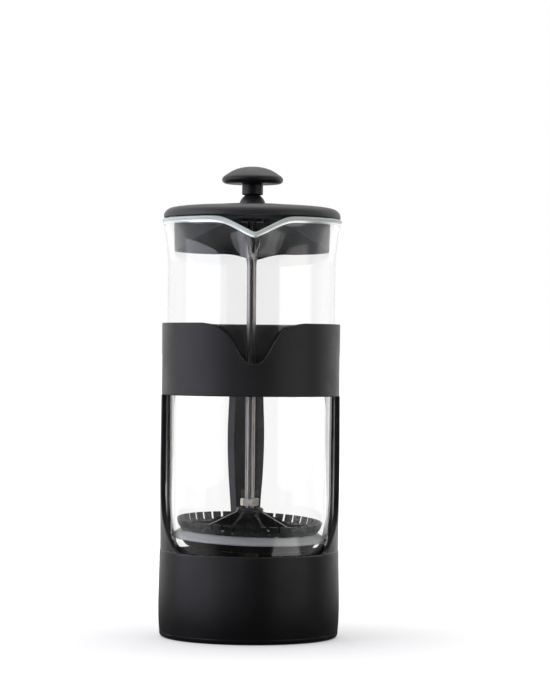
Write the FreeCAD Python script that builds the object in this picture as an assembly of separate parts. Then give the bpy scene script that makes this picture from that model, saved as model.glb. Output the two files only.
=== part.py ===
import FreeCAD, Part
import math
import os

# French press: a glass beaker in a moulded plastic frame, with a domed lid,
# a plunger and a filter stack.  Millimetres, +Z up, origin on the beaker axis
# at the plane the base stands on.  The spout and the notch of the collar face
# -Y, the handle is on the +Y side.

V = FreeCAD.Vector
Z = V(0, 0, 1)
O = V(0, 0, 0)

# ---------------------------------------------------------------- dimensions
# beaker
GLASS_R = 35.6            # outer radius of the straight wall
GLASS_T = 2.0             # wall thickness
GLASS_Z0 = 16.3           # underside of the beaker
GLASS_FLOOR = 18.5        # inner floor
RIM_Z = 177.15            # top of the rim
SPOUT_HALF = 14.5         # half width of the spout
SPOUT_DIP = 6.9           # how far the rim dips at the spout's tip
SPOUT_OUT = 4.7           # how far the tip stands out from the wall
SPOUT_Z0 = 158.0          # where the spout starts to leave the wall
# frame
FRAME_IN = 36.0           # inner radius of cup, pillars and collar
LIP_Z = 36.3              # top edge of the cup
BAND_Z0 = 102.4           # underside of the collar
BAND_Z1 = 132.9           # top edge of the collar
CUP_FLOOR = 16.0
CORNER = 4.4              # corner radius inside the cup
PILLAR_FRONT = 82.0       # front edge of a pillar, degrees from the front
PILLAR_REAR = 77.5        # rear edge of a pillar, degrees from the back
# lid
LID_R = 37.6
LID_Z0 = 177.6
SKIRT_R = 33.2
SKIRT_Z0 = 163.2
BOSS_R = 5.7
# plunger
ROD_R = 2.0
ROD_BORE = 2.08
KNOB_R = 13.0
KNOB_TOP = 199.7
NUT_AF = 7.0
NUT_Z0 = 55.5
NUT_H = 3.2
# filter stack
FILTER_PIVOT_Z = 48.0
FILTER_TILT = 3.0
FILTER_AXIS = V(0.829, 0.559, 0)
HUB_R = 5.7
HUB_TOP = 54.8
HUB_BORE = 2.8
TEETH = 40
RING_TOP_R = 30.95
RING_TOP_Z = 49.8
RING_LOW_R = 28.95
RING_LOW_Z = 45.4
SLOT_W = 1.15
LIP_R = 32.9
# handle
HANDLE_BACK = 70.0        # centre line of the grip behind the axis


# ------------------------------------------------------------------- helpers
def arc3(a, b, c):
    return Part.Arc(a, b, c).toShape()


def fillet_path(pts):
    """Edges in the XZ half plane through (r, z, radius) corners; the path is closed."""
    n = len(pts)
    ins, outs, mids = [], [], []
    for i, p in enumerate(pts):
        r, z = p[0], p[1]
        rad = p[2] if len(p) > 2 else 0.0
        if rad <= 0:
            ins.append(V(r, 0, z))
            outs.append(V(r, 0, z))
            mids.append(None)
            continue
        a = V(pts[i - 1][0] - r, 0, pts[i - 1][1] - z)
        b = V(pts[(i + 1) % n][0] - r, 0, pts[(i + 1) % n][1] - z)
        a.normalize()
        b.normalize()
        ang = a.getAngle(b)
        t = rad / math.tan(ang / 2)
        bis = a + b
        bis.normalize()
        c = V(r, 0, z) + bis * (rad / math.sin(ang / 2))
        ins.append(V(r, 0, z) + a * t)
        outs.append(V(r, 0, z) + b * t)
        mids.append(c - bis * rad)
    edges = []
    for i in range(n):
        if mids[i] is not None:
            edges.append(arc3(ins[i], mids[i], outs[i]))
        nxt = ins[(i + 1) % n]
        if (outs[i] - nxt).Length > 1e-6:
            edges.append(Part.makeLine(outs[i], nxt))
    return edges


def spline_edge(pts):
    c = Part.BSplineCurve()
    c.interpolate([V(*p) for p in pts])
    return c.toShape()


def revolve(edges, angle=360):
    face = Part.Face(Part.Wire(Part.__sortEdges__(edges)))
    s = face.revolve(O, Z, angle)
    return solid_of(s)


def solid_of(s):
    s = s.Solids[0] if s.ShapeType != "Solid" else s
    if s.Volume < 0:
        s.reverse()
    return s


def ring_solid(pts):
    return revolve(fillet_path(pts))


def tube(r0, r1, z0, z1):
    s = Part.makeCylinder(r1, z1 - z0, V(0, 0, z0))
    if r0 > 0:
        s = s.cut(Part.makeCylinder(r0, z1 - z0 + 2, V(0, 0, z0 - 1)))
    return s


def pol(r, deg, z):
    """Point at an angle from the front (-Y), positive towards +X."""
    a = math.radians(deg)
    return V(r * math.sin(a), -r * math.cos(a), z)


def window_shell(loop, r0, r1):
    """Radial cutting surface through a wall.  loop: closed list of corners
    (degrees from the front, z, corner radius), laid out on the wall."""
    k = math.radians(1) * 37.0
    flat = fillet_path([(d * k, z, rad) for d, z, rad in loop])
    faces = []
    for e in flat:
        p0, p1 = e.valueAt(e.FirstParameter), e.valueAt(e.LastParameter)
        straight = e.Curve.TypeId == "Part::GeomLine"
        if straight and abs(p0.x - p1.x) < 1e-6:
            lo = Part.makeLine(pol(r0, p0.x / k, p0.z), pol(r0, p1.x / k, p1.z))
            hi = Part.makeLine(pol(r1, p0.x / k, p0.z), pol(r1, p1.x / k, p1.z))
        elif straight and abs(p0.z - p1.z) < 1e-6:
            m = (p0.x + p1.x) / 2
            lo = arc3(pol(r0, p0.x / k, p0.z), pol(r0, m / k, p0.z), pol(r0, p1.x / k, p0.z))
            hi = arc3(pol(r1, p0.x / k, p0.z), pol(r1, m / k, p0.z), pol(r1, p1.x / k, p0.z))
        else:
            ts = [e.FirstParameter + (e.LastParameter - e.FirstParameter) * i / 8 for i in range(9)]
            ps = [e.valueAt(t) for t in ts]
            lo = spline_edge([tuple(pol(r0, p.x / k, p.z)) for p in ps])
            hi = spline_edge([tuple(pol(r1, p.x / k, p.z)) for p in ps])
        faces.append(Part.makeRuledSurface(lo, hi))
    shell = Part.Compound(faces)
    shell.sewShape(1e-4)
    return shell


def keep_largest(solid, shell):
    pieces, _ = solid.generalFuse([shell])
    return max(pieces.Solids, key=lambda s: s.Volume)


def sector(r0, r1, z0, z1, mid_deg, half_deg):
    """Block of a ring wall centred at an angle from the front."""
    face = Part.Face(Part.makePolygon([V(r0, 0, z0), V(r1, 0, z0), V(r1, 0, z1), V(r0, 0, z1), V(r0, 0, z0)]))
    s = face.revolve(O, Z, 2 * half_deg)
    s.rotate(O, Z, -90 + mid_deg - half_deg)
    return s.Solids[0] if s.ShapeType != "Solid" else s


def outer_edges(shape, rmin, zmin, zmax, longest):
    """Edges on the outside of a round wall between two heights."""
    out = []
    for e in shape.Edges:
        span = e.LastParameter - e.FirstParameter
        ps = [e.valueAt(e.FirstParameter + span * t) for t in (0.1, 0.5, 0.9)]
        if min(math.hypot(p.x, p.y) for p in ps) < rmin or e.Length > longest:
            continue
        if min(p.z for p in ps) < zmin or max(p.z for p in ps) > zmax:
            continue
        out.append(e)
    return out


def notch_edges(shape):
    """Edges of the cut-out at the front of the collar."""
    out = []
    for e in shape.Edges:
        span = e.LastParameter - e.FirstParameter
        ps = [e.valueAt(e.FirstParameter + span * t) for t in (0.05, 0.5, 0.95)]
        if max(abs(math.degrees(math.atan2(p.x, -p.y))) for p in ps) < 50 and min(p.z for p in ps) > BAND_Z0 + 5 and e.Length > 1:
            out.append(e)
    return out


def export(shape, name):
    shape = shape.removeSplitter() if name not in NO_REFINE else shape
    os.makedirs("parts", exist_ok=True)
    if not shape.isValid():
        print("not valid:", name)
    print("%-20s solids %d volume %9.1f box %s" % (name, len(shape.Solids), shape.Volume, shape.BoundBox))
    shape.exportStep("parts/%s.step" % name)


NO_REFINE = {"beaker", "band_collar"}

# ---------------------------------------------------------------- base frame
# One moulding: a cup for the beaker's foot on a hollow underside, and two
# pillars that rise from its rim to the collar.
outer_cup = [(37.92, 0, 2.2), (38.33, 0, 8.0), (38.42, 0, 13.0), (38.3, 0, 24.0), (38.12, 0, LIP_Z + 0.2)]
outer_pillar = [(37.86, 0, 37.0), (37.92, 0, 46.0), (38.1, 0, 62.0), (38.15, 0, 75.0), (38.08, 0, 90.0), (38.0, 0, BAND_Z0)]
edges = [
    arc3(V(36.1, 0, 0), V(37.528, 0, 0.672), V(37.92, 0, 2.2)),
    spline_edge(outer_cup),
    Part.makeLine(V(38.12, 0, LIP_Z + 0.2), V(37.86, 0, 37.0)),
    spline_edge(outer_pillar),
    Part.makeLine(V(38.0, 0, BAND_Z0), V(FRAME_IN, 0, BAND_Z0)),
    Part.makeLine(V(FRAME_IN, 0, BAND_Z0), V(FRAME_IN, 0, CUP_FLOOR + CORNER)),
    arc3(V(FRAME_IN, 0, CUP_FLOOR + CORNER), V(FRAME_IN - CORNER + CORNER * math.cos(math.radians(45)), 0, CUP_FLOOR + CORNER - CORNER * math.sin(math.radians(45))), V(FRAME_IN - CORNER, 0, CUP_FLOOR)),
    Part.makeLine(V(FRAME_IN - CORNER, 0, CUP_FLOOR), V(0, 0, CUP_FLOOR)),
    Part.makeLine(V(0, 0, CUP_FLOOR), V(0, 0, 13.6)),
    Part.makeLine(V(0, 0, 13.6), V(30.4, 0, 13.6)),
    arc3(V(30.4, 0, 13.6), V(30.4 + 4 * math.sin(math.radians(45)), 0, 9.6 + 4 * math.cos(math.radians(45))), V(34.4, 0, 9.6)),
    Part.makeLine(V(34.4, 0, 9.6), V(34.6, 0, 0)),
    Part.makeLine(V(34.6, 0, 0), V(36.1, 0, 0)),
]
frame = revolve(edges)
PF = PILLAR_FRONT
front_loop = [
    (-PF, 110, 0), (-PF, 53.5, 20), (-56, LIP_Z, 10), (56, LIP_Z, 10), (PF, 53.5, 20), (PF, 110, 0),
]
frame = keep_largest(frame, window_shell(front_loop, 30.5, 44.0))
PR = PILLAR_REAR
rear_loop = [
    (180 - PR + 9, 108, 0), (180 - PR, 97.0, 3), (180 - PR, 80.0, 50), (180 - 85, 54.0, 12), (180 - 64, LIP_Z, 10),
    (180 + 64, LIP_Z, 10), (180 + 85, 54.0, 12), (180 + PR, 80.0, 50), (180 + PR, 97.0, 3), (180 + PR - 9, 108, 0),
]
frame = keep_largest(frame, window_shell(rear_loop, 30.5, 44.0))
# round the outer edges of both windows
frame = frame.makeFillet(0.5, outer_edges(frame, 37.5, LIP_Z - 0.5, BAND_Z0 - 0.01, 60))
# stiffening ribs under the floor, joined by a small ring
ribs = tube(7.0, 8.6, 9.4, 13.7)
for i in range(6):
    rib = Part.makeBox(27.6, 1.6, 4.3, V(7.6, -0.8, 9.4))
    rib.rotate(O, Z, 30 + 60 * i)
    ribs = ribs.fuse(rib)
frame = frame.fuse(ribs)
# tongues on the pillar tops, held in pockets of the collar
TONGUE = 6.0
for side in (90, 270):
    frame = frame.fuse(sector(36.5, 37.3, BAND_Z0 - 1.0, BAND_Z0 + 9.0, side, TONGUE))
frame = frame.removeSplitter()

# --------------------------------------------------------------- band collar
edges = [
    spline_edge([(37.8, 0, BAND_Z0 + 0.35), (37.76, 0, 112.0), (37.8, 0, 122.0), (37.88, 0, BAND_Z1 - 0.45)]),
    arc3(V(37.88, 0, BAND_Z1 - 0.45), V(37.75, 0, BAND_Z1 - 0.13), V(37.43, 0, BAND_Z1)),
    Part.makeLine(V(37.43, 0, BAND_Z1), V(36.3, 0, BAND_Z1)),
    Part.makeLine(V(36.3, 0, BAND_Z1), V(FRAME_IN, 0, BAND_Z1 - 0.3)),
    Part.makeLine(V(FRAME_IN, 0, BAND_Z1 - 0.3), V(FRAME_IN, 0, BAND_Z0)),
    Part.makeLine(V(FRAME_IN, 0, BAND_Z0), V(37.45, 0, BAND_Z0)),
    Part.makeLine(V(37.45, 0, BAND_Z0), V(37.8, 0, BAND_Z0 + 0.35)),
]
band = revolve(edges)
# V notch at the front: (half width, z)
notch = [(26.0, BAND_Z1 + 0.35), (22.5, BAND_Z1 + 0.12), (19.6, BAND_Z1 - 0.2), (17.6, 132.3), (15.6, 131.6), (13.6, 130.5), (11.6, 128.9), (9.4, 126.2), (7.3, 122.6), (5.2, 119.0), (3.6, 117.1), (1.8, 116.15), (0.0, 116.0)]
left = [V(-x, -34.0, z) for x, z in notch]
right = [V(x, -34.0, z) for x, z in reversed(notch[:-1])]
top = BAND_Z1 + 3.0
lead_l = [V(-26.0, -34.0, top)]
lead_r = [V(26.0, -34.0, top)]
curve = Part.BSplineCurve()
curve.interpolate(left + right)
wire = Part.Wire([curve.toShape(), Part.makeLine(right[-1], lead_r[0]), Part.makeLine(lead_r[0], lead_l[0]), Part.makeLine(lead_l[0], left[0])])
prism = Part.Face(wire).extrude(V(0, -8, 0))
prism = prism.fuse(Part.Face(wire).extrude(V(0, 13.0, 0)))
band = band.cut(prism)
band = band.makeFillet(0.4, notch_edges(band))
for side in (90, 270):
    band = band.cut(sector(36.42, 37.36, BAND_Z0 - 1, BAND_Z0 + 9.3, side, TONGUE + 0.3))
# raised pad behind the collar where the handle is screwed on
pad = Part.makeBox(11.0, 5.0, 21.0, V(-5.5, 35.2, 107.0))
pad = pad.makeFillet(2.0, [e for e in pad.Edges if abs(e.tangentAt(e.FirstParameter).y) > 0.9])
pad = pad.cut(Part.makeCylinder(FRAME_IN, 60, V(0, 0, 90)))
band = band.fuse(pad)
SCREW_Z = (111.0, 124.0)
for z in SCREW_Z:
    band = band.cut(Part.makeCone(2.9, 1.6, 1.5, V(0, 35.95, z), V(0, 1, 0)))
    band = band.cut(Part.makeCylinder(2.9, 1.6, V(0, 34.4, z), V(0, 1, 0)))
    band = band.cut(Part.makeCylinder(1.6, 8, V(0, 35, z), V(0, 1, 0)))

# -------------------------------------------------------------------- handle
# A flat bar with bevelled edges: an arm leaves the collar, turns down into the
# grip, and the grip ends free above the base.
# outer point (y, z), inner point (y, z), width, bevel
stations = [
    (36.0, 130.8, 36.0, 101.2, 17.6, 1.8),
    (42.0, 130.4, 41.5, 104.0, 17.0, 2.4),
    (48.5, 129.5, 47.0, 107.5, 16.5, 2.8),
    (55.5, 127.8, 52.6, 110.4, 16.2, 3.0),
    (62.4, 124.6, 57.8, 111.2, 16.1, 3.0),
    (68.6, 119.2, 62.3, 109.0, 16.1, 3.0),
    (73.4, 111.4, 65.3, 104.2, 16.2, 3.0),
    (76.3, 101.0, 66.8, 98.0, 16.6, 3.0),
    (77.2, 90.0, 67.4, 89.2, 17.5, 3.1),
    (77.1, 79.5, 67.4, 79.5, 17.7, 3.1),
    (76.2, 69.0, 66.8, 69.8, 17.0, 3.0),
    (74.8, 58.5, 65.7, 60.0, 15.6, 2.8),
    (73.0, 47.8, 64.3, 49.4, 13.9, 2.6),
    (70.9, 37.0, 62.8, 38.6, 12.2, 2.4),
]


def section(yo, zo, yi, zi, w, b):
    """Bevelled rectangle between the outer and the inner line of the handle."""
    c = V(0, (yo + yi) / 2, (zo + zi) / 2)
    n = V(0, yo - yi, zo - zi)
    ht = n.Length / 2
    n.normalize()
    x = V(1, 0, 0)
    hw = w / 2
    pts = [(-hw, -ht + b), (-hw, ht - b), (-hw + b, ht), (hw - b, ht), (hw, ht - b), (hw, -ht + b), (hw - b, -ht), (-hw + b, -ht)]
    ps = [c + x * u + n * v for u, v in pts]
    return Part.makePolygon(ps + [ps[0]])


wires = [section(*st) for st in stations]
handle = Part.makeLoft(wires, True, False)
handle = solid_of(handle)
# rounded lower end
yo, zo, yi, zi, w, b = stations[-1]
cy, cz = (yo + yi) / 2, (zo + zi) / 2
dy, dz = -0.195, -0.981
ends = [section(*stations[-1])]
for t, k in ((1.5, 0.96), (2.8, 0.86), (3.8, 0.70), (4.4, 0.48)):
    c0, c1 = cy + dy * t, cz + dz * t
    ends.append(section(c0 + (yo - cy) * k, c1 + (zo - cz) * k, c0 + (yi - cy) * k, c1 + (zi - cz) * k, w * k, b * k))
handle = handle.fuse(solid_of(Part.makeLoft(ends, True, False)))
handle = handle.cut(Part.makeCylinder(37.95, 60, V(0, 0, 90)))
handle = handle.cut(pad)
for z in SCREW_Z:
    handle = handle.cut(Part.makeCylinder(1.35, 14, V(0, 36, z), V(0, 1, 0)))
handle = solid_of(handle.removeSplitter())

# screws that hold the handle, heads sunk in the collar's inner face
screws = []
for z in SCREW_Z:
    s = Part.makeCone(2.8, 1.32, 1.5, V(0, 36.05, z), V(0, 1, 0))
    s = s.fuse(Part.makeCylinder(1.32, 11.0, V(0, 37.5, z), V(0, 1, 0)))
    s = s.fuse(Part.makeCone(1.32, 0.3, 0.8, V(0, 48.5, z), V(0, 1, 0)))
    s = s.cut(Part.makeBox(3.6, 0.8, 0.7, V(-1.8, 35.9, z - 0.35))).cut(Part.makeBox(0.7, 0.8, 3.6, V(-0.35, 35.9, z - 1.8)))
    screws.append(s.removeSplitter())
screws = Part.makeCompound(screws)

# -------------------------------------------------------------------- beaker
FLARE = [(150.0, 35.6), (158.0, 35.6), (162.0, 35.86), (166.5, 36.3), (170.7, 36.85), (173.7, 37.35), (175.6, 37.95), (176.8, 38.5), (178.5, 39.3)]


def flare(z):
    if z <= FLARE[1][0]:
        return GLASS_R
    for (z0, r0), (z1, r1) in zip(FLARE, FLARE[1:]):
        if z <= z1:
            i = FLARE.index((z0, r0))
            a = FLARE[max(i - 1, 0)]
            b = FLARE[min(i + 2, len(FLARE) - 1)]
            m0 = (r1 - a[1]) / (z1 - a[0])
            m1 = (b[1] - r0) / (b[0] - z0)
            h = z1 - z0
            t = (z - z0) / h
            return (2 * t**3 - 3 * t**2 + 1) * r0 + (t**3 - 2 * t**2 + t) * h * m0 + (-2 * t**3 + 3 * t**2) * r1 + (t**3 - t**2) * h * m1
    return FLARE[-1][1]


def soft_abs(x, r):
    return math.sqrt(x * x + r * r) - r


def spout_w(x):
    u = 1 - soft_abs(x, 1.5) / SPOUT_HALF
    return u * u if u > 0 else 0.0


def spout_b(z):
    t = (z - SPOUT_Z0) / (170.4 - SPOUT_Z0)
    if t <= 0:
        return 0.0
    return SPOUT_OUT * (t ** 1.7 if t < 1 else 1 + 1.7 * (t - 1) * 0.5)


def rim_z(x):
    a = soft_abs(x, 0.9)
    d = 0.54 * (SPOUT_HALF - 1.6 - a)
    s = 0.75
    if d / s > 30:
        return RIM_Z - d
    return RIM_Z - s * math.log(1 + math.exp(d / s)) + 0.0


def wall_point(x_ang, z, r):
    """Point of the wall at an angle from the front; the spout is added along -Y."""
    a = math.radians(x_ang)
    x = r * math.sin(a)
    y = -r * math.cos(a)
    if abs(x_ang) < 60:
        y -= spout_b(z) * spout_w(x)
    return V(x, y, z)


def glass_profile(deg):
    """Points up the inside of the wall, over the rounded rim and down the outside."""
    a = math.radians(deg)
    top = rim_z(37.2 * math.sin(a))
    fade = max(0.0, min(1.0, (SPOUT_DEG - abs(deg)) / 6.0))
    top = RIM_Z - (RIM_Z - top) * fade
    zt = top - 1.0
    ups = [WALL_Z + 3.0, WALL_Z + 6.0] + [156 + (zt - 156) * (k / 10) ** 0.85 for k in range(1, 11)]
    pts = [wall_point(deg, z, flare(z) - GLASS_T) for z in [WALL_Z] + ups]
    rm, rh = flare(zt) - GLASS_T / 2, GLASS_T / 2
    for t in (30, 60, 90, 120, 150):
        tt = math.radians(t)
        pts.append(wall_point(deg, zt + math.sin(tt), rm - rh * math.cos(tt) + 0.28 * math.sin(tt)))
    pts += [wall_point(deg, z, flare(z)) for z in reversed([WALL_Z] + ups)]
    return pts


# The mouth: a patch with the spout in it, and the plain rest of the round.
SPOUT_DEG = 36.0
WALL_Z = 150.0
degs = [0.0, 1.0, 2.0, 3.0, 4.2, 5.6, 7.2, 9.0, 11.0, 13.0, 15.0, 17.2, 19.6, 22.0, 24.5, 27.0, 30.0, 33.0, SPOUT_DEG]
grid = [glass_profile(v) for v in [-v for v in reversed(degs[1:])] + degs]
surf = Part.BSplineSurface()
surf.interpolate(grid)
u0, u1, v0, v1 = surf.bounds()
# split where the wall meets the rounded rim and half way up the flare
cuts = [v0] + [surf.parameter(grid[-1][k])[1] for k in (7, 12, 15, 18, 23)] + [v1]
faces = []
side = surf.uIso(u1)
for a, b in zip(cuts, cuts[1:]):
    strip = surf.copy()
    strip.segment(u0, u1, a, b)
    faces.append(strip.toShape())
    faces += side.toShape(a, b).revolve(O, Z, 360 - 2 * SPOUT_DEG).Faces
ri = GLASS_R - GLASS_T
rc, ro = 4.0, 4.6
h = math.sqrt(0.5)
low = [
    Part.makeLine(V(ri, 0, WALL_Z), V(ri, 0, GLASS_FLOOR + rc)),
    arc3(V(ri, 0, GLASS_FLOOR + rc), V(ri - rc + rc * h, 0, GLASS_FLOOR + rc - rc * h), V(ri - rc, 0, GLASS_FLOOR)),
    Part.makeLine(V(ri - rc, 0, GLASS_FLOOR), V(0, 0, GLASS_FLOOR)),
    Part.makeLine(V(0, 0, GLASS_Z0), V(GLASS_R - ro, 0, GLASS_Z0)),
    arc3(V(GLASS_R - ro, 0, GLASS_Z0), V(GLASS_R - ro + ro * h, 0, GLASS_Z0 + ro - ro * h), V(GLASS_R, 0, GLASS_Z0 + ro)),
    Part.makeLine(V(GLASS_R, 0, GLASS_Z0 + ro), V(GLASS_R, 0, WALL_Z)),
]

def mouth_edge(z, r):
    """The patch's lower edge on one side of the wall."""
    for iso in (surf.uIso(u0), surf.uIso(u1), surf.vIso(v0), surf.vIso(v1)):
        e = iso.toShape()
        p, q = e.valueAt(e.FirstParameter), e.valueAt(e.LastParameter)
        if abs(p.z - z) < 1e-3 and abs(q.z - z) < 1e-3 and abs(math.hypot(p.x, p.y) - r) < 1e-2 and (p - q).Length > 5:
            return e


for e in low:
    # the profile plane turned to the patch's two sides
    a = e.copy()
    a.rotate(O, Z, -90 + SPOUT_DEG)
    faces += a.revolve(O, Z, 360 - 2 * SPOUT_DEG).Faces
    p, q = e.Vertexes[0].Point, e.Vertexes[-1].Point
    if max(p.z, q.z) == WALL_Z:
        r, z = p.x, min(p.z, q.z)
        foot = arc3(pol(r, -SPOUT_DEG, z), pol(r, 0, z), pol(r, SPOUT_DEG, z))
        faces.append(Part.makeRuledSurface(mouth_edge(WALL_Z, r), foot))
        continue
    a = e.copy()
    a.rotate(O, Z, -90 - SPOUT_DEG)
    faces += a.revolve(O, Z, 2 * SPOUT_DEG).Faces
shell = Part.Compound(faces)
shell.sewShape(2e-3)
beaker = Part.Solid(shell.Shells[0])
if beaker.Volume < 0:
    beaker.reverse()

# ----------------------------------------------------------------------- lid
# Domed cap with a boss for the rod, and a collar that hangs inside.
bs = math.sqrt(BOSS_R ** 2 - (187.9 - 182.7) ** 2)
dome_c = 183.9 - 268.0


def dome_z(r):
    return dome_c + math.sqrt(268.0 ** 2 - r * r)


rb = 5.62
edges = [
    spline_edge([(rb, 0, dome_z(rb)), (15, 0, dome_z(15)), (25, 0, dome_z(25)), (31.5, 0, 182.3), (34.2, 0, 181.85)]),
    spline_edge([(34.2, 0, 181.85), (35.8, 0, 181.2), (36.8, 0, 180.35), (37.35, 0, 179.5), (37.55, 0, 178.9)]),
    Part.makeLine(V(37.55, 0, 178.9), V(LID_R, 0, LID_Z0 + 0.25)),
    Part.makeLine(V(LID_R, 0, LID_Z0 + 0.25), V(LID_R - 0.25, 0, LID_Z0)),
    Part.makeLine(V(LID_R - 0.25, 0, LID_Z0), V(33.3, 0, LID_Z0)),
    Part.makeLine(V(33.3, 0, LID_Z0), V(33.3, 0, 178.7)),
    Part.makeLine(V(33.3, 0, 178.7), V(31.3, 0, 178.7)),
    Part.makeLine(V(31.3, 0, 178.7), V(30.6, 0, 180.2)),
    Part.makeLine(V(30.6, 0, 180.2), V(16.0, 0, 181.3)),
    Part.makeLine(V(16.0, 0, 181.3), V(5.6, 0, 181.5)),
    Part.makeLine(V(5.6, 0, 181.5), V(4.8, 0, 180.4)),
    Part.makeLine(V(4.8, 0, 180.4), V(4.8, 0, 176.3)),
    Part.makeLine(V(4.8, 0, 176.3), V(4.5, 0, 176.0)),
    Part.makeLine(V(4.5, 0, 176.0), V(ROD_BORE, 0, 176.0)),
    Part.makeLine(V(ROD_BORE, 0, 176.0), V(ROD_BORE, 0, 187.9)),
    Part.makeLine(V(ROD_BORE, 0, 187.9), V(bs, 0, 187.9)),
    arc3(V(bs, 0, 187.9), V(BOSS_R * math.cos(math.radians(38)), 0, 182.7 + BOSS_R * math.sin(math.radians(38))), V(rb, 0, 182.7 + math.sqrt(BOSS_R ** 2 - rb ** 2))),
    Part.makeLine(V(rb, 0, 182.7 + math.sqrt(BOSS_R ** 2 - rb ** 2)), V(rb, 0, dome_z(rb))),
]
lid = revolve(edges)

# skirt that centres the lid in the beaker; its front is cut away in an arch
skirt = ring_solid([
    (31.6, SKIRT_Z0 + 0.3), (31.9, SKIRT_Z0), (32.6, SKIRT_Z0), (32.9, SKIRT_Z0 + 0.3), (SKIRT_R, 176.0), (SKIRT_R, 178.6), (31.4, 178.6), (31.4, 176.0),
])
arch = [(-78, 158.0, 0), (-78, SKIRT_Z0 - 0.5, 0), (-62, SKIRT_Z0 + 1.6, 12), (-14, 176.3, 10), (14, 176.3, 10), (62, SKIRT_Z0 + 1.6, 12), (78, SKIRT_Z0 - 0.5, 0), (78, 158.0, 0)]
skirt = keep_largest(skirt, window_shell(arch, 28.0, 40.0))

# ---------------------------------------------------------------------- knob
knob_pts = [(0, KNOB_TOP), (3.5, 199.45), (6.5, 198.75), (9.3, 197.5), (11.4, 196.1), (12.6, 195.1), (KNOB_R, 194.3)]
edges = [
    spline_edge([(r, 0, z) for r, z in knob_pts]),
    spline_edge([(KNOB_R, 0, 194.3), (12.85, 0, 193.4), (12.3, 0, 192.75), (11.2, 0, 192.35), (9.0, 0, 192.2)]),
    Part.makeLine(V(9.0, 0, 192.2), V(5.0, 0, 192.25)),
    arc3(V(5.0, 0, 192.25), V(4.62, 0, 192.1), V(4.48, 0, 191.7)),
    Part.makeLine(V(4.48, 0, 191.7), V(4.48, 0, 188.1)),
    arc3(V(4.48, 0, 188.1), V(4.33, 0, 187.75), V(3.98, 0, 187.6)),
    Part.makeLine(V(3.98, 0, 187.6), V(3.5, 0, 187.6)),
    Part.makeLine(V(3.5, 0, 187.6), V(3.2, 0, 188.4)),
    Part.makeLine(V(3.2, 0, 188.4), V(0, 0, 188.4)),
    Part.makeLine(V(0, 0, 188.4), V(0, 0, KNOB_TOP)),
]
knob = revolve(edges)
knob = knob.cut(Part.makeCylinder(2.95, 8.1, V(0, 0, 188.0)))
insert = tube(ROD_R + 0.02, 2.9, 188.5, 195.6)
insert = insert.cut(tube(2.6, 4.0, 191.2, 192.0))

# --------------------------------------------------------------- plunger rod
rod = ring_solid([(0, 32.4), (1.55, 32.4), (ROD_R - 0.06, 32.8), (ROD_R - 0.06, 60.2), (ROD_R, 60.4), (ROD_R, 187.9), (ROD_R - 0.06, 188.1), (ROD_R - 0.06, 195.2), (1.55, 195.6), (0, 195.6)])


def hex_nut(z0, h, bore, turn):
    r = NUT_AF / math.sqrt(3)
    ps = [V(r * math.cos(math.radians(60 * i)), r * math.sin(math.radians(60 * i)), z0) for i in range(6)]
    s = Part.Face(Part.makePolygon(ps + [ps[0]])).extrude(V(0, 0, h))
    # chamfered corners, top and bottom
    c = 0.5
    cone = ring_solid([(0, z0), (NUT_AF / 2 - 0.05, z0), (NUT_AF / 2 - 0.05 + c * 1.9, z0 + c), (NUT_AF / 2 - 0.05 + c * 1.9, z0 + h - c), (NUT_AF / 2 - 0.05, z0 + h), (0, z0 + h)])
    s = s.common(cone).cut(Part.makeCylinder(bore, h + 2, V(0, 0, z0 - 1)))
    s.rotate(O, Z, turn)
    return s


upper_nut = hex_nut(NUT_Z0, NUT_H, ROD_R, -47 - 90)
lower_nut = hex_nut(34.0, NUT_H, ROD_R, 10)

# -------------------------------------------------------------- filter stack
# modelled square to the rod, then tipped about its pivot as it rests
hub = ring_solid([(HUB_BORE, 43.2), (7.2, 43.2), (6.6, 46.5), (HUB_R, 49.0), (HUB_R, HUB_TOP - 0.5), (HUB_R - 0.5, HUB_TOP), (HUB_BORE, HUB_TOP)])
ring = ring_solid([
    (27.3, 43.95), (28.15, 43.95), (28.33, 45.2), (RING_LOW_R, RING_LOW_Z), (29.75, 46.3), (30.45, 47.6), (RING_TOP_R, RING_TOP_Z - 0.2), (RING_TOP_R - 0.2, RING_TOP_Z), (RING_TOP_R - 0.5, RING_TOP_Z), (RING_TOP_R - 0.65, RING_TOP_Z - 0.25), (29.85, 47.7), (29.2, 46.6), (28.4, 45.95), (27.3, 45.75),
])
for i in range(TEETH):
    slot = Part.makeBox(SLOT_W, 8.0, 3.4, V(-SLOT_W / 2, -34.0, RING_TOP_Z - 3.0))
    slot.rotate(O, Z, 4.1 + i * 360.0 / TEETH)
    ring = ring.cut(slot)
plate = hub.fuse(ring)
prof = [(4.5, 43.4), (4.5, 53.2), (5.9, 53.2), (17.4, 47.8), (24.5, 47.2), (28.5, 46.6), (28.3, 45.6), (27.6, 45.4), (27.6, 44.0), (16.0, 44.0), (9.0, 43.4)]
for i in range(8):
    f = Part.Face(Part.makePolygon([V(r, -0.75, z) for r, z in prof] + [V(prof[0][0], -0.75, prof[0][1])]))
    rib = f.extrude(V(0, 1.5, 0))
    rib.rotate(O, Z, -90 + 19.0 + 45.0 * i)
    plate = plate.fuse(rib)
plate = plate.cut(Part.makeCylinder(HUB_BORE, 30, V(0, 0, 35)))
plate = plate.removeSplitter()

# the sealing lip slopes down and outward and grows thin at its edge
gasket = ring_solid([
    (26.6, 43.0), (28.6, 43.0), (30.0, 42.7), (31.5, 42.15), (32.5, 41.95), (LIP_R, 42.25), (LIP_R, 42.75), (32.6, 43.1), (31.2, 43.85), (29.7, 44.85), (28.95, 45.25), (28.5, 45.1), (28.3, 43.9), (26.6, 43.9),
])
mesh = tube(3.4, 26.4, 42.92, 43.15)

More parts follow.
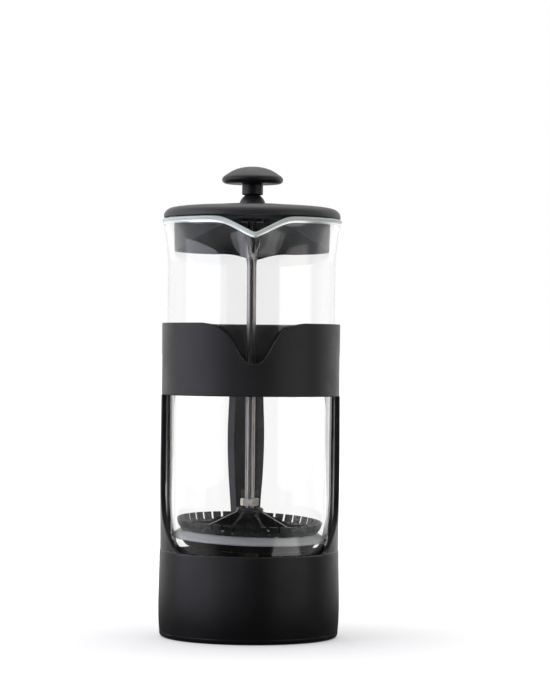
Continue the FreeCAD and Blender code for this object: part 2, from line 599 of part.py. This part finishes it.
dish = ring_solid([
    (HUB_BORE, 37.8), (6.0, 37.8), (6.0, 39.2), (24.6, 38.3), (26.2, 38.3), (27.0, 38.7), (29.75, 42.1), (29.5, 42.4), (28.3, 42.85), (26.2, 42.85), (25.2, 39.9), (24.8, 39.6), (6.2, 40.5), (6.2, 42.9), (HUB_BORE, 42.9),
])
for i in range(8):
    for r0, r1, half_deg in ((9.0, 15.4, 17.0), (17.0, 23.6, 19.5)):
        dish = dish.cut(sector(r0, r1, 36.0, 41.6, 45.0 * i, half_deg))
dish = solid_of(dish.removeSplitter())

pivot = V(0, 0, FILTER_PIVOT_Z)
for s in (plate, gasket, mesh, dish):
    s.rotate(pivot, FILTER_AXIS, FILTER_TILT)

export(frame, "base_frame")
export(band, "band_collar")
export(handle, "handle")
export(screws, "handle_screws")
export(beaker, "beaker")
export(lid, "lid_dome")
export(skirt, "lid_skirt")
export(knob, "knob")
export(insert, "knob_insert")
export(rod, "plunger_rod")
export(upper_nut, "upper_nut")
export(plate, "filter_top_plate")
export(gasket, "silicone_gasket")
export(mesh, "mesh_screen")
export(dish, "filter_bottom_plate")
export(lower_nut, "lower_nut")
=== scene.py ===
import math

import bmesh
import bpy
from mathutils import Matrix, Vector


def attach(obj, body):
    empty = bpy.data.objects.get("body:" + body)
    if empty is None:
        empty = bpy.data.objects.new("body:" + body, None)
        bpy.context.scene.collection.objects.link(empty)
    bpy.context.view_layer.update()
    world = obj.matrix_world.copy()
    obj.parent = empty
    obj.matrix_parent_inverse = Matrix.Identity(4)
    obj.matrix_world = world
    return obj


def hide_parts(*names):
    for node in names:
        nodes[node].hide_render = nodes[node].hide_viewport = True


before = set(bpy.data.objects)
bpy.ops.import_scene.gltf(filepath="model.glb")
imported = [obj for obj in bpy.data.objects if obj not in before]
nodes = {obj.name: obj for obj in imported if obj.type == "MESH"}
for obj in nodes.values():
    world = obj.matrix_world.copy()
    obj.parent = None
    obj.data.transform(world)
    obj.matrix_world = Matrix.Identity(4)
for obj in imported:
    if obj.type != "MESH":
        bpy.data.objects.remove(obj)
scene = bpy.context.scene


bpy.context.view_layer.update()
MM = 0.001


# ------------------------------------------------------------------ materials
def new_mat(name):
    m = bpy.data.materials.new(name)
    m.use_nodes = True
    nt = m.node_tree
    return m, nt, nt.nodes["Principled BSDF"]


def noise(nt, scale, detail=3.0, rough=0.55, stretch=None, seed=0.0):
    tc = nt.nodes.new("ShaderNodeTexCoord")
    mp = nt.nodes.new("ShaderNodeMapping")
    mp.inputs["Location"].default_value = (seed, seed * 0.7, seed * 1.3)
    if stretch:
        mp.inputs["Scale"].default_value = stretch
    nt.links.new(tc.outputs["Object"], mp.inputs["Vector"])
    n = nt.nodes.new("ShaderNodeTexNoise")
    n.inputs["Scale"].default_value = scale
    n.inputs["Detail"].default_value = detail
    n.inputs["Roughness"].default_value = rough
    nt.links.new(mp.outputs["Vector"], n.inputs["Vector"])
    return n.outputs["Fac"]


def ramp(nt, fac, lo, hi, c0, c1):
    r = nt.nodes.new("ShaderNodeValToRGB")
    r.color_ramp.elements[0].position = lo
    r.color_ramp.elements[1].position = hi
    r.color_ramp.elements[0].color = (*c0, 1) if len(c0) == 3 else c0
    r.color_ramp.elements[1].color = (*c1, 1) if len(c1) == 3 else c1
    nt.links.new(fac, r.inputs["Fac"])
    return r.outputs["Color"]


def maprange(nt, fac, a, b, c, d):
    r = nt.nodes.new("ShaderNodeMapRange")
    r.inputs["From Min"].default_value = a
    r.inputs["From Max"].default_value = b
    r.inputs["To Min"].default_value = c
    r.inputs["To Max"].default_value = d
    nt.links.new(fac, r.inputs["Value"])
    return r.outputs["Result"]


def bump(nt, bsdf, height, strength, distance):
    b = nt.nodes.new("ShaderNodeBump")
    b.inputs["Strength"].default_value = strength
    b.inputs["Distance"].default_value = distance
    nt.links.new(height, b.inputs["Height"])
    nt.links.new(b.outputs["Normal"], bsdf.inputs["Normal"])
    return b


def plastic(name, dark, light, rough, grain=0.12, grain_mm=0.35, seed=0.0, spec=0.5, spread=0.06):
    """Moulded plastic: fine grain, faint flow marks and small changes of gloss."""
    m, nt, p = new_mat(name)
    flow = noise(nt, 38.0, 4.0, 0.6, (1, 1, 0.45), seed)
    col = ramp(nt, flow, 0.3, 0.7, dark, light)
    nt.links.new(col, p.inputs["Base Color"])
    fine = noise(nt, 1.0 / (grain_mm * MM) / 3.0, 2.0, 0.5, None, seed + 3)
    gloss = noise(nt, 90.0, 5.0, 0.65, None, seed + 7)
    nt.links.new(maprange(nt, gloss, 0.3, 0.7, rough - spread, rough + spread), p.inputs["Roughness"])
    p.inputs["Specular IOR Level"].default_value = spec
    bump(nt, p, fine, grain, 0.05 * MM)
    return m


def steel(name, lo, hi, rough, stretch, scale=900.0, seed=0.0):
    """Drawn or turned steel with fine lines along or round the piece."""
    m, nt, p = new_mat(name)
    lines = noise(nt, scale, 3.0, 0.6, stretch, seed)
    nt.links.new(ramp(nt, lines, 0.25, 0.75, lo, hi), p.inputs["Base Color"])
    nt.links.new(maprange(nt, lines, 0.2, 0.8, rough - 0.06, rough + 0.08), p.inputs["Roughness"])
    p.inputs["Metallic"].default_value = 1.0
    bump(nt, p, lines, 0.10, 0.02 * MM)
    return m


def glass(name, tint, rough=0.0, wave=0.02):
    m, nt, p = new_mat(name)
    slow = noise(nt, 24.0, 2.0, 0.5, (1, 1, 0.25))
    nt.links.new(ramp(nt, slow, 0.3, 0.7, tint, [min(1, c * 1.006) for c in tint]), p.inputs["Base Color"])
    p.inputs["Roughness"].default_value = rough
    p.inputs["IOR"].default_value = 1.47
    p.inputs["Transmission Weight"].default_value = 1.0
    bump(nt, p, slow, wave, 0.25 * MM)
    return m


M = {
    "frame": plastic("frame_polypropylene", (0.0062, 0.0059, 0.0070), (0.0088, 0.0083, 0.0098), 0.34, seed=1.0, spec=0.33),
    "collar": plastic("collar_polypropylene", (0.0072, 0.0070, 0.0080), (0.0100, 0.0098, 0.0110), 0.42, seed=4.0, spec=0.40),
    "handle": plastic("handle_polypropylene", (0.0090, 0.0088, 0.0100), (0.0125, 0.0122, 0.0136), 0.40, seed=8.0),
    "lid": plastic("lid_polypropylene", (0.016, 0.016, 0.018), (0.022, 0.022, 0.024), 0.44, grain=0.16, seed=12.0),
    # skirt: grey plastic, its colour lifted further as a painted reflection, the light veil that the beaker glass in
    # front of it reflects
    "skirt": plastic("skirt_plastic_painted_veil", (0.066, 0.068, 0.077), (0.080, 0.082, 0.092), 0.60, grain=0.08, seed=15.0, spec=0.05),
    "knob": plastic("knob_plastic", (0.0085, 0.0082, 0.0095), (0.012, 0.0117, 0.0132), 0.42, grain=0.10, seed=19.0, spec=0.38),
    "filter": plastic("filter_plastic", (0.006, 0.006, 0.007), (0.009, 0.009, 0.0105), 0.26, grain=0.05, seed=23.0),
    "plate": plastic("plate_plastic", (0.007, 0.007, 0.008), (0.011, 0.011, 0.0125), 0.30, grain=0.06, seed=27.0),
    "rod": steel("drawn_steel", (0.22, 0.21, 0.207), (0.34, 0.323, 0.316), 0.27, (1, 1, 0.02)),
    "nut": steel("nut_steel", (0.50, 0.47, 0.43), (0.66, 0.62, 0.57), 0.30, (1, 1, 1), 700.0, 5.0),
    "screw": steel("blackened_screw", (0.022, 0.022, 0.024), (0.040, 0.040, 0.043), 0.42, (1, 0.05, 1), 800.0, 9.0),
    "brass": steel("turned_brass", (0.60, 0.44, 0.19), (0.74, 0.57, 0.28), 0.28, (1, 1, 0.2), 700.0, 2.0),
    "glass": glass("borosilicate_glass", (0.966, 0.969, 0.965)),
}

# ground edge of the glass: frosted and faintly green, with a bead under it made near-white and mostly metallic as a
# painted glint on the glass edge
m, nt, p = new_mat("ground_rim")
grit = noise(nt, 700.0, 3.0, 0.6, None, 3.0)
nt.links.new(ramp(nt, grit, 0.3, 0.7, (0.74, 0.82, 0.775), (0.86, 0.92, 0.885)), p.inputs["Base Color"])
nt.links.new(maprange(nt, grit, 0.3, 0.7, 0.30, 0.42), p.inputs["Roughness"])
p.inputs["IOR"].default_value = 1.47
p.inputs["Transmission Weight"].default_value = 0.35
bump(nt, p, grit, 0.15, 0.04 * MM)
M["rim"] = m
# bead: glass given a near-white, mostly metallic finish so its edge shines as a painted glint
m, nt, p = new_mat("bead_painted_glint")
tone = noise(nt, 120.0, 2.0, 0.5, None, 6.0)
nt.links.new(ramp(nt, tone, 0.3, 0.7, (0.93, 0.94, 0.93), (0.98, 0.985, 0.98)), p.inputs["Base Color"])
p.inputs["Roughness"].default_value = 0.28
p.inputs["Metallic"].default_value = 0.85
M["bead"] = m

# silicone: milky, softly translucent
m, nt, p = new_mat("milky_silicone")
cloud = noise(nt, 60.0, 3.0, 0.5)
nt.links.new(ramp(nt, cloud, 0.3, 0.7, (0.80, 0.845, 0.89), (0.88, 0.92, 0.96)), p.inputs["Base Color"])
p.inputs["Roughness"].default_value = 0.32
p.inputs["IOR"].default_value = 1.41
p.inputs["Subsurface Weight"].default_value = 0.85
p.inputs["Subsurface Radius"].default_value = (1.0, 1.0, 1.0)
p.inputs["Subsurface Scale"].default_value = 4.0 * MM
bump(nt, p, noise(nt, 900.0, 2.0), 0.08, 0.04 * MM)
M["silicone"] = m

# woven nylon screen
m, nt, p = new_mat("woven_nylon")
nt.links.new(ramp(nt, noise(nt, 300.0, 2.0), 0.3, 0.7, (0.020, 0.020, 0.022), (0.045, 0.045, 0.048)), p.inputs["Base Color"])
p.inputs["Roughness"].default_value = 0.5
M["nylon"] = m

ASSIGN = {
    "base_frame": "frame", "band_collar": "collar", "handle": "handle", "handle_screws": "screw",
    "lid_dome": "lid", "lid_skirt": "skirt", "knob": "knob", "knob_insert": "brass",
    "plunger_rod": "rod", "upper_nut": "nut", "lower_nut": "nut", "filter_top_plate": "filter",
    "silicone_gasket": "silicone", "mesh_screen": "nylon", "filter_bottom_plate": "plate", "beaker": "glass",
}
for node, key in ASSIGN.items():
    o = nodes[node]
    o.data.materials.clear()
    o.data.materials.append(M[key])


# -------------------------------------------------------------- mesh helpers
def mesh_object(name, verts, faces, mats, smooth=True, face_mat=None):
    me = bpy.data.meshes.new(name)
    me.from_pydata(verts, [], faces)
    for k in mats:
        me.materials.append(M[k])
    me.polygons.foreach_set("use_smooth", [smooth] * len(me.polygons))
    if face_mat:
        me.polygons.foreach_set("material_index", face_mat)
    me.update()
    o = bpy.data.objects.new(name, me)
    scene.collection.objects.link(o)
    return o


# -------------------------------------------------------------------- beaker
GLASS_R, GLASS_T, GLASS_Z0, GLASS_FLOOR = 35.6, 2.0, 16.3, 18.5
RIM_Z, SPOUT_HALF, SPOUT_OUT, SPOUT_Z0 = 177.15, 14.5, 4.7, 158.0
FLARE = [(150.0, 35.6), (158.0, 35.6), (162.0, 35.86), (166.5, 36.3), (170.7, 36.85), (173.7, 37.35), (175.6, 37.95), (176.8, 38.5), (178.5, 39.3)]


def flare(z):
    if z <= FLARE[1][0]:
        return GLASS_R
    for i in range(1, len(FLARE) - 1):
        (z0, r0), (z1, r1) = FLARE[i], FLARE[i + 1]
        if z <= z1:
            a, b = FLARE[i - 1], FLARE[min(i + 2, len(FLARE) - 1)]
            m0, m1 = (r1 - a[1]) / (z1 - a[0]), (b[1] - r0) / (b[0] - z0)
            h = z1 - z0
            t = (z - z0) / h
            return (2 * t**3 - 3 * t**2 + 1) * r0 + (t**3 - 2 * t**2 + t) * h * m0 + (-2 * t**3 + 3 * t**2) * r1 + (t**3 - t**2) * h * m1
    return FLARE[-1][1]


def soft_abs(x, r):
    return math.sqrt(x * x + r * r) - r


def spout_w(x, r=1.5):
    u = 1 - soft_abs(x, r) / SPOUT_HALF
    return u * u if u > 0 else 0.0


def smooth01(t):
    t = max(0.0, min(1.0, t))
    return t * t * (3 - 2 * t)


def spout_b(z):
    t = (z - SPOUT_Z0) / (170.4 - SPOUT_Z0)
    if t <= 0:
        return 0.0
    return SPOUT_OUT * (t ** 1.7 if t < 1 else 1 + 1.7 * (t - 1) * 0.5)


def rim_z(x):
    d = 0.54 * (SPOUT_HALF - 1.6 - soft_abs(x, 0.9))
    s = 0.75
    return RIM_Z - d if d / s > 30 else RIM_Z - s * math.log(1 + math.exp(d / s))


def wall_point(deg, z, r, outer=False):
    a = math.radians(deg)
    x, y = r * math.sin(a), -r * math.cos(a)
    if abs(deg) < 60:
        y -= spout_b(z) * spout_w(x, 0.9 if outer else 2.3)
        if outer:
            y -= 0.62 * smooth01((z - 155.5) / 9.0) * spout_w(x, 1.5)
    return (x * MM, y * MM, z * MM)


SPOUT_DEG = 36.0
RIM_BAND = 0.95          # height of the ground edge below the top of the rim


def glass_profile(deg):
    a = math.radians(deg)
    top = rim_z(37.2 * math.sin(a)) if abs(deg) < SPOUT_DEG else RIM_Z
    top = RIM_Z - (RIM_Z - top) * max(0.0, min(1.0, (SPOUT_DEG - abs(deg)) / 6.0))
    ri = GLASS_R - GLASS_T
    pts, tags = [], []

    def add(z, r, tag=0, outer=False):
        pts.append(wall_point(deg, z, r, outer))
        tags.append(tag)

    rc = 4.0
    for k in range(9):
        t = math.radians(90 * k / 8)
        add(GLASS_FLOOR + rc - rc * math.cos(t), ri - rc + rc * math.sin(t))
    zt = top - 1.0
    low = [30, 50, 70, 90, 110, 125, 140, 150, 156]
    for z in low:
        add(z, ri)
    n = 26
    zb = zt - RIM_BAND
    ups = [156 + (zb - 156) * (k / n) ** 0.85 for k in range(1, n + 1)]
    for z in ups:
        add(z, flare(z) - GLASS_T)
    # ground edge: a small step in, the band, and the rounded top
    add(zb + 0.10, flare(zb) - GLASS_T + 0.06, 1)
    add(zb + RIM_BAND * 0.5, flare(zb + RIM_BAND * 0.5) - GLASS_T + 0.06, 1)
    ih, oh = flare(zt) - GLASS_T + 0.06, flare(zt) - 0.06
    for t in range(0, 181, 15):
        tt = math.radians(t)
        f = 0.5 - 0.5 * math.cos(tt)
        pin = wall_point(deg, zt + math.sin(tt), ih + (oh - ih) * f + 0.28 * math.sin(tt), False)
        pout = wall_point(deg, zt + math.sin(tt), ih + (oh - ih) * f + 0.28 * math.sin(tt), True)
        pts.append(tuple(u + (v - u) * f for u, v in zip(pin, pout)))
        tags.append(1)
    add(zb + RIM_BAND * 0.5, flare(zb + RIM_BAND * 0.5) - 0.06, 1, True)
    add(zb + 0.24, flare(zb + 0.24) - 0.06, 1, True)
    add(zb + 0.12, flare(zb + 0.12) + 0.03, 2, True)
    add(zb - 0.10, flare(zb - 0.1) + 0.06, 2, True)
    for z in reversed(ups[:-1]):
        add(z, flare(z), 0, True)
    for z in reversed(low):
        add(z, GLASS_R)
    rc = 4.6
    for k in range(8, -1, -1):
        t = math.radians(90 * k / 8)
        add(GLASS_Z0 + rc - rc * math.cos(t), GLASS_R - rc + rc * math.sin(t))
    return pts, tags


def build_beaker():
    degs = []
    d = -180.0
    while d < 180 - 1e-6:
        degs.append(d)
        a = abs(d + 1e-6)
        d += 0.5 if a < 6.01 else (0.8 if a < 30 else 1.5)
    verts, faces, fm = [], [], []
    n = len(degs)
    cols = [glass_profile(v) for v in degs]
    m = len(cols[0][0])
    for pts, _ in cols:
        verts += pts
    tags = cols[0][1]
    for i in range(n):
        j = (i + 1) % n
        for k in range(m - 1):
            faces.append((i * m + k, i * m + k + 1, j * m + k + 1, j * m + k))
            fm.append(1 if tags[k] == 1 and tags[k + 1] == 1 else (2 if tags[k] == 2 or tags[k + 1] == 2 else 0))
    # flat inner floor and slightly hollow outer bottom, as rings of quads
    for inner in (True, False):
        ring = [i * m + (0 if inner else m - 1) for i in range(n)]
        for f in (0.8, 0.55, 0.3, 0.12):
            new = []
            for i in range(n):
                x, y, z = verts[i * m + (0 if inner else m - 1)]
                lift = 0.0 if inner else 0.35 * MM * (1 - f * f)
                new.append(len(verts))
                verts.append((x * f, y * f, z + lift))
            for i in range(n):
                j = (i + 1) % n
                q = (ring[i], ring[j], new[j], new[i])
                faces.append(q if inner else q[::-1])
                fm.append(0)
            ring = new
        c = len(verts)
        z = verts[ring[0]][2]
        verts.append((0, 0, z))
        for i in range(n):
            j = (i + 1) % n
            t = (ring[i], ring[j], c)
            faces.append(t if inner else t[::-1])
            fm.append(0)
    o = mesh_object("beaker_glass", verts, faces, ["glass", "rim", "bead"], True, fm)
    bm = bmesh.new()
    bm.from_mesh(o.data)
    bmesh.ops.recalc_face_normals(bm, faces=bm.faces)
    bm.to_mesh(o.data)
    bm.free()
    return o


beaker = build_beaker()
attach(beaker, "beaker")
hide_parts("beaker")

# --------------------------------------------------------------------- stage
floor_me = bpy.data.meshes.new("floor")
s = 60.0
floor_me.from_pydata([(-s, -s, 0), (s, -s, 0), (s, s, 0), (-s, s, 0)], [], [(0, 1, 2, 3)])
floor = bpy.data.objects.new("floor", floor_me)
scene.collection.objects.link(floor)
m = bpy.data.materials.new("pale_floor")
m.use_nodes = True
nt = m.node_tree
nt.nodes.clear()
out = nt.nodes.new("ShaderNodeOutputMaterial")
lp = nt.nodes.new("ShaderNodeLightPath")
mix = nt.nodes.new("ShaderNodeMixShader")
dif = nt.nodes.new("ShaderNodeBsdfDiffuse")
dif.inputs["Color"].default_value = (0.80, 0.80, 0.805, 1)
em = nt.nodes.new("ShaderNodeEmission")
em.inputs["Color"].default_value = (1, 1, 1, 1)
add = nt.nodes.new("ShaderNodeAddShader")
nt.links.new(dif.outputs[0], add.inputs[0])
nt.links.new(em.outputs[0], add.inputs[1])
tc = nt.nodes.new("ShaderNodeTexCoord")
sep = nt.nodes.new("ShaderNodeSeparateXYZ")
nt.links.new(tc.outputs["Object"], sep.inputs[0])
vl = nt.nodes.new("ShaderNodeVectorMath")
vl.operation = "LENGTH"
nt.links.new(tc.outputs["Object"], vl.inputs[0])
# floor glow falls from full strength to about a quarter towards the base: painted shade round the object, laid under
# its real shadow
r1 = nt.nodes.new("ShaderNodeMapRange")
r1.interpolation_type = "SMOOTHSTEP"
r1.inputs["From Min"].default_value = 0.05
r1.inputs["From Max"].default_value = 0.40
r1.inputs["To Min"].default_value = 0.26
r1.inputs["To Max"].default_value = 1.0
nt.links.new(vl.outputs["Value"], r1.inputs["Value"])
nt.links.new(r1.outputs["Result"], em.inputs["Strength"])
rr = nt.nodes.new("ShaderNodeMapRange")
rr.interpolation_type = "SMOOTHSTEP"
rr.inputs["From Min"].default_value = 0.0
rr.inputs["From Max"].default_value = 0.55
rr.inputs["To Min"].default_value = 0.06
rr.inputs["To Max"].default_value = 1.12
nt.links.new(sep.outputs["Y"], rr.inputs["Value"])
em2 = nt.nodes.new("ShaderNodeEmission")
side = nt.nodes.new("ShaderNodeMath")
side.operation = "DIVIDE"
nt.links.new(sep.outputs["Y"], side.inputs[0])
nt.links.new(vl.outputs["Value"], side.inputs[1])
rs = nt.nodes.new("ShaderNodeMapRange")
rs.interpolation_type = "SMOOTHSTEP"
rs.inputs["From Min"].default_value = -0.85
rs.inputs["From Max"].default_value = -0.35
rs.inputs["To Min"].default_value = 0.0
rs.inputs["To Max"].default_value = 0.92
nt.links.new(side.outputs[0], rs.inputs["Value"])
through = nt.nodes.new("ShaderNodeMath")
through.operation = "MULTIPLY"
nt.links.new(rs.outputs["Result"], through.inputs[0])
nt.links.new(lp.outputs["Is Transmission Ray"], through.inputs[1])
lift = nt.nodes.new("ShaderNodeMath")
lift.operation = "MAXIMUM"
nt.links.new(rr.outputs["Result"], lift.inputs[0])
nt.links.new(through.outputs[0], lift.inputs[1])
nt.links.new(lift.outputs[0], em2.inputs["Strength"])
nt.links.new(lp.outputs["Is Camera Ray"], mix.inputs["Fac"])
nt.links.new(em2.outputs[0], mix.inputs[1])
nt.links.new(add.outputs[0], mix.inputs[2])
nt.links.new(mix.outputs[0], out.inputs["Surface"])
floor_me.materials.append(m)

# --------------------------------------------------------------------- world
world = bpy.data.worlds.new("studio")
scene.world = world
world.use_nodes = True
nt = world.node_tree
nt.nodes.clear()
out = nt.nodes.new("ShaderNodeOutputWorld")
bg = nt.nodes.new("ShaderNodeBackground")
bg.inputs["Color"].default_value = (1, 1, 1, 1)
tc = nt.nodes.new("ShaderNodeTexCoord")
sep = nt.nodes.new("ShaderNodeSeparateXYZ")
nt.links.new(tc.outputs["Generated"], sep.inputs[0])


def smooth(sock, a, b, c, d):
    r = nt.nodes.new("ShaderNodeMapRange")
    r.interpolation_type = "SMOOTHSTEP"
    r.inputs["From Min"].default_value = a
    r.inputs["From Max"].default_value = b
    r.inputs["To Min"].default_value = c
    r.inputs["To Max"].default_value = d
    nt.links.new(sock, r.inputs["Value"])
    return r.outputs["Result"]


def math_node(op, a, b):
    n = nt.nodes.new("ShaderNodeMath")
    n.operation = op
    for i, v in enumerate((a, b)):
        if isinstance(v, (int, float)):
            n.inputs[i].default_value = v
        else:
            nt.links.new(v, n.inputs[i])
    return n.outputs[0]


back = smooth(sep.outputs["Y"], -0.15, 0.55, 0.0, 1.0)
left = smooth(math_node("MULTIPLY", sep.outputs["X"], -1.0), 0.25, 0.95, 0.0, 1.0)
right = smooth(sep.outputs["X"], 0.35, 0.95, 0.0, 1.0)
top = smooth(sep.outputs["Z"], 0.25, 0.95, 0.0, 1.0)
front = math_node("ADD", 0.13, math_node("ADD", math_node("MULTIPLY", left, 0.30), math_node("MULTIPLY", right, 0.10)))
level = math_node("ADD", front, math_node("MULTIPLY", top, 0.25))
mixv = math_node("ADD", math_node("MULTIPLY", level, math_node("SUBTRACT", 1.0, back)), math_node("MULTIPLY", back, 1.0))
lp = nt.nodes.new("ShaderNodeLightPath")
final = math_node("MAXIMUM", mixv, lp.outputs["Is Camera Ray"])
seen = smooth(sep.outputs["Y"], -0.85, -0.35, 0.0, 0.92)
final = math_node("MAXIMUM", final, math_node("MULTIPLY", seen, lp.outputs["Is Transmission Ray"]))
nt.links.new(final, bg.inputs["Strength"])
nt.links.new(bg.outputs[0], out.inputs["Surface"])


# -------------------------------------------------------------------- lights
def soft_box(name, az, dist, z, w, h, power, colour=(1, 1, 1)):
    """Area light at an azimuth from the front (-Y), positive towards +X, aimed at the axis."""
    a = math.radians(az)
    pos = Vector((math.sin(a) * dist, -math.cos(a) * dist, z))
    d = bpy.data.lights.new(name, "AREA")
    d.shape = "RECTANGLE"
    d.size, d.size_y = w, h
    d.energy = power
    d.color = colour
    o = bpy.data.objects.new(name, d)
    o.location = pos
    o.rotation_euler = (Vector((0, 0, 0.11)) - pos).to_track_quat("-Z", "Y").to_euler()
    scene.collection.objects.link(o)
    return o


soft_box("left_key", -74, 1.15, 0.42, 1.35, 1.0, 7.0, (0.93, 0.94, 1.10))
soft_box("right_fill", 58, 1.2, 0.28, 1.0, 1.1, 2.7, (1.04, 0.99, 0.96))
top_l = soft_box("top_soft", 180, 0.25, 1.3, 1.3, 1.3, 7.0)


def table_card(name, az, dist, w, h, power, colour):
    """White card lying beside the object, facing up; only reflections see it."""
    a = math.radians(az)
    d = bpy.data.lights.new(name, "AREA")
    d.shape = "RECTANGLE"
    d.size, d.size_y = w, h
    d.energy = power
    d.color = colour
    o = bpy.data.objects.new(name, d)
    o.location = (math.sin(a) * dist, -math.cos(a) * dist, 0.004)
    o.rotation_euler = (math.pi, 0, a)
    o.visible_camera = False
    scene.collection.objects.link(o)
    return o


table_card("card_left", -50, 0.27, 0.52, 0.22, 0.75, (0.95, 0.97, 1.06))
table_card("card_right", 50, 0.40, 0.34, 0.40, 0.55, (1.02, 1.0, 0.98))

# -------------------------------------------------------------------- camera
AZ, DIST, H, SHIFT, ROLL = math.radians(2.2), 1.15, 0.1218, 0.0102, math.radians(0.55)
fwd = Vector((math.sin(AZ), math.cos(AZ), 0))
rgt = Vector((math.cos(AZ), -math.sin(AZ), 0))
up = Vector((0, 0, 1))
r2 = rgt * math.cos(ROLL) + up * math.sin(ROLL)
u2 = -rgt * math.sin(ROLL) + up * math.cos(ROLL)
cam_d = bpy.data.cameras.new("camera")
cam_d.lens = 139.0
cam_d.sensor_width = 36.0
cam_d.clip_start = 0.05
cam_d.clip_end = 200
cam = bpy.data.objects.new("camera", cam_d)
pos = -fwd * DIST + rgt * SHIFT + up * H
rot = Matrix((r2, u2, -fwd)).transposed().to_4x4()
cam.matrix_world = Matrix.Translation(pos) @ rot
scene.collection.objects.link(cam)
scene.camera = cam
scene.view_settings.view_transform = "Standard"
scene.view_settings.look = "None"
